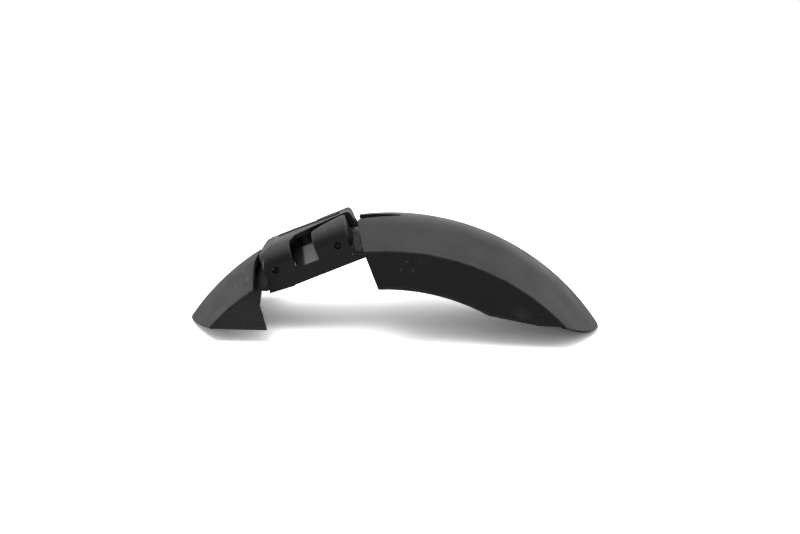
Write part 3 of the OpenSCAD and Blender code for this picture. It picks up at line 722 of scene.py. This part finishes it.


# Scratches and dust on the front blade; the last one is painted light that lightens its whole flange
FRONT_MARKS = [
    ((-93.0, -24.8, 28.7), (0.6, 2.0, 2.2), 12, 0.9), ((-96.4, -17.7, 28.6), (0.5, 2.0, 2.0), 12, 0.5),
    ((-85.2, -27.6, 33.8), (1.6, 3.0, 2.6), 30, 0.45), ((-89.8, -15.3, 34.9), (0.7, 2.5, 2.6), 20, 0.35),
    ((-83.2, -43.2, 29.5), (1.5, 1.0, 0.6), 40, 0.7), ((-98.6, -28.0, 24.0), (0.4, 2.0, 1.6), 10, 0.3),
    ((-84.0, -45.0, 14.0), (30.0, 2.0, 24.0), 0, 0.16),
]
REAR_MARKS = [
    ((5.6, -45, 46.6), (0.5, 1.0, 1.1), 0, 0.6), ((9.0, -45, 51.4), (1.4, 1.0, 0.5), 15, 0.5),
    ((12.5, -45, 46.2), (0.6, 1.0, 1.8), -20, 0.5), ((86.5, -45, 21.6), (0.5, 1.0, 0.5), 0, 0.9),
    ((-10.7, -20.6, 63.3), (0.6, 1.0, 0.6), 0, 0.5), ((96.0, -30.0, 17.0), (0.5, 1.0, 0.5), 0, 0.5),
]
# Painted highlights along the hood's rim and at the foot of the ear
HOUSING_HIGHLIGHTS = [
    ((-76.3, -24.0, 37.3), (0.55, 4.0, 11.0), 17.9, 0.85), ((-23.3, -25.2, 49.7), (0.7, 1.2, 0.7), 0, 1.0),
]
# Painted highlights on the stop in the window and on two of the folds behind the ear
SADDLE_HIGHLIGHTS = [
    ((-57.4, -22.7, 43.0), (0.6, 2.2, 4.0), 0, 1.0),
    ((-23.6, -20.8, 56.6), (0.5, 3.0, 6.0), -22, 0.7), ((-20.0, -20.8, 57.0), (0.4, 3.0, 6.5), -22, 0.8),
]
# Glints on the two near screws
SCREW_MARKS = [
    ((-70.6, -25.2, 39.6), (0.9, 1.5, 0.9), 0, 1.0), ((-30.1, -25.2, 54.2), (0.8, 1.5, 0.8), 0, 1.0),
    ((-31.9, -25.2, 54.9), (0.6, 1.5, 0.6), 0, 0.8),
]
blade_black = plastic("blade_black", base=0.0075, rough=0.38, grain=0.06, scuffs=0.22, specular=0.47,
                      edge_wear_and_sheen=0.3, marks=FRONT_MARKS + REAR_MARKS, mark_level=0.13)
housing_black = plastic("housing_black", base=0.008, rough=0.33, grain=0.04, scuffs=0.02, specular=0.55,
                        edge_wear_and_sheen=0.6, marks=HOUSING_HIGHLIGHTS, mark_level=0.24, light_and_shade=housing_painted_shade)
saddle_black = plastic("saddle_black", base=0.036, rough=0.4, grain=0.06, specular=0.4, edge_wear_and_sheen=0.3,
                       marks=SADDLE_HIGHLIGHTS, mark_level=0.3, light_and_shade=saddle_painted_light)
black_screw = plastic("black_screw", base=0.02, rough=0.28, scuffs=0.3, metal=0.8,
                      marks=SCREW_MARKS, mark_level=0.6)
brass_insert = plastic("brass_insert", base=0.3, rough=0.3, metal=1.0)
screw_steel = plastic("screw_steel", base=0.5, rough=0.3, metal=1.0)
washer_steel = plastic("washer_steel", base=0.55, rough=0.32, metal=1.0)


def dress(obj, mat):
    obj.data.materials.clear()
    obj.data.materials.append(mat)


for obj, node in ((front_blade, "front_blade"), (rear_blade, "rear_blade")):
    dress(obj, blade_black)
    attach(obj, "root")
    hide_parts(node)
for obj in inner_pieces:
    dress(obj, blade_black)
    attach(obj, "root")

dress(housing, housing_black)
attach(housing, "root")
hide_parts("bracket_housing")

dress(saddle, saddle_black)
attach(saddle, "root")
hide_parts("saddle")

# The CAD nodes that stay keep their meshes, with a fine bevel
BEVEL_M = 0.00012
BEVEL_SEGMENTS = 3
BEVEL_ANGLE = math.radians(30)
REPLACED = ("front_blade", "rear_blade", "bracket_housing", "saddle")
for name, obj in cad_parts.items():
    if name in REPLACED:
        continue
    mat = (brass_insert if "insert" in name else black_screw if "side_screw" in name else
           washer_steel if "washer" in name else screw_steel)
    for slot in obj.material_slots:
        slot.material = mat
    soft = obj.modifiers.new("soft_edges", "BEVEL")
    soft.width = BEVEL_M
    soft.segments = BEVEL_SEGMENTS
    soft.limit_method = "ANGLE"
    soft.angle_limit = BEVEL_ANGLE

# Camera at the photograph's viewing angle, with the eye's place in millimetres from the wheel's axle
ELEVATION = math.radians(16.5)
TURN = math.radians(2.15)
ROLL = math.radians(-0.65)
EYE_RIGHT = 4.63
EYE_UP = 112.6
EYE_BACK = 813.7
LENS = 58.0
SENSOR = 36.0
NEAR_CLIP = 0.01
vertical = Vector((0, 0, 1))
flat_right = Vector((math.cos(TURN), math.sin(TURN), 0))
ahead = Vector((-math.sin(TURN), math.cos(TURN), 0))
upright = vertical * math.cos(ELEVATION) + ahead * math.sin(ELEVATION)
sight = ahead * math.cos(ELEVATION) - vertical * math.sin(ELEVATION)
right = flat_right * math.cos(ROLL) - upright * math.sin(ROLL)
top = flat_right * math.sin(ROLL) + upright * math.cos(ROLL)
eye = (right * EYE_RIGHT + top * EYE_UP - sight * EYE_BACK - vertical * FLOOR_Z) / 1000
cam_data = bpy.data.cameras.new("camera")
cam_data.lens = LENS
cam_data.sensor_width = SENSOR
cam_data.sensor_fit = "HORIZONTAL"
cam_data.clip_start = NEAR_CLIP
camera = add_object("camera", cam_data)
camera.matrix_world = Matrix((
    (right.x, top.x, -sight.x, eye.x), (right.y, top.y, -sight.y, eye.y),
    (right.z, top.z, -sight.z, eye.z), (0, 0, 0, 1)))
bpy.context.scene.camera = camera

# Floor: white to the camera, darker in what it throws back on the object, and glowing white far out
FLOOR_SIZE = 6.0
FLOOR_GREY = 0.24
FLOOR_SEEN = 1.75
FADE_START = 0.22
FADE_END = 0.42


def floor_white():
    """The floor's material."""
    mat = bpy.data.materials.new("floor_white")
    mat.use_nodes = True
    nodes, links = mat.node_tree.nodes, mat.node_tree.links
    nodes.remove(nodes["Principled BSDF"])
    seen = nodes.new("ShaderNodeLightPath").outputs["Is Camera Ray"]
    diffuse = nodes.new("ShaderNodeBsdfDiffuse")
    value(diffuse.inputs["Color"], grey(nodes, seen, FLOOR_GREY, FLOOR_SEEN))
    distance = measured(nodes, "LENGTH", nodes.new("ShaderNodeTexCoord").outputs["Object"])
    far = grade(nodes, distance, FADE_START, FADE_END)
    blend = nodes.new("ShaderNodeMixShader")
    value(blend.inputs[0], calculate(nodes, "MULTIPLY", far, seen))
    links.new(diffuse.outputs[0], blend.inputs[1])
    links.new(nodes.new("ShaderNodeEmission").outputs[0], blend.inputs[2])
    links.new(blend.outputs[0], nodes["Material Output"].inputs["Surface"])
    return mat


floor_mesh = bpy.data.meshes.new("floor")
floor_mesh.from_pydata([(-FLOOR_SIZE, -FLOOR_SIZE, 0), (FLOOR_SIZE, -FLOOR_SIZE, 0),
                        (FLOOR_SIZE, FLOOR_SIZE, 0), (-FLOOR_SIZE, FLOOR_SIZE, 0)], [], [(0, 1, 2, 3)])
floor_mesh.materials.append(floor_white())
floor = add_object("floor", floor_mesh)

# World: a plain soft surround, white to the camera. Reflections see a room that is dim behind the camera
AMBIENT = 0.95
ROOM_LEFT = 0.8
ROOM_FRONT = 0.14
# Brightness of the room by height, from the floor at 0 to straight up at 1
SKY = [(0.10, 1.15), (0.36, 0.92), (0.76, 1.12), (1.0, 0.95)]


def either(nodes, factor, low, high):
    """One level or the other, by a light path's flag."""
    mix = nodes.new("ShaderNodeMix")
    mix.data_type = "FLOAT"
    value(mix.inputs["Factor"], factor)
    value(mix.inputs["A"], low)
    value(mix.inputs["B"], high)
    return mix.outputs["Result"]


def room(nodes):
    """What reflections see of the surround."""
    axes = nodes.new("ShaderNodeSeparateXYZ")
    value(axes.inputs[0], nodes.new("ShaderNodeTexCoord").outputs["Generated"])
    sky = nodes.new("ShaderNodeValToRGB")
    sky.color_ramp.interpolation = "EASE"
    while len(sky.color_ramp.elements) < len(SKY):
        sky.color_ramp.elements.new(0.5)
    for element, (height, level) in zip(sky.color_ramp.elements, SKY):
        element.position = height
        element.color = (level, level, level, 1)
    value(sky.inputs["Fac"], axes.outputs["Z"])
    side = calculate(nodes, "MULTIPLY", grade(nodes, axes.outputs["X"], -0.7, 0.3, ROOM_LEFT, 1.0),
                     sky.outputs["Color"])
    return grade(nodes, axes.outputs["Y"], -0.6, 0.5, ROOM_FRONT, side)


world = bpy.data.worlds.new("studio")
bpy.context.scene.world = world
world.use_nodes = True
nodes = world.node_tree.nodes
path = nodes.new("ShaderNodeLightPath")
lit = either(nodes, path.outputs["Is Glossy Ray"], AMBIENT, room(nodes))
background = nodes["Background"]
background.inputs["Color"].default_value = (1, 1, 1, 1)
value(background.inputs["Strength"], either(nodes, path.outputs["Is Camera Ray"], lit, 1.0))

# One softbox overhead
LAMP_PLACE = Vector((-0.3, -0.3, 0.9))
LAMP_WIDTH = 0.6
LAMP_DEPTH = 0.45
LAMP_POWER = 4.0
lamp_data = bpy.data.lights.new("overhead", "AREA")
lamp_data.shape = "RECTANGLE"
lamp_data.size = LAMP_WIDTH
lamp_data.size_y = LAMP_DEPTH
lamp_data.energy = LAMP_POWER
lamp = add_object("overhead", lamp_data)
lamp.location = LAMP_PLACE
lamp.rotation_euler = (-LAMP_PLACE).to_track_quat("-Z", "Y").to_euler()
lamp.visible_glossy = False

bpy.context.scene.view_settings.view_transform = "Standard"
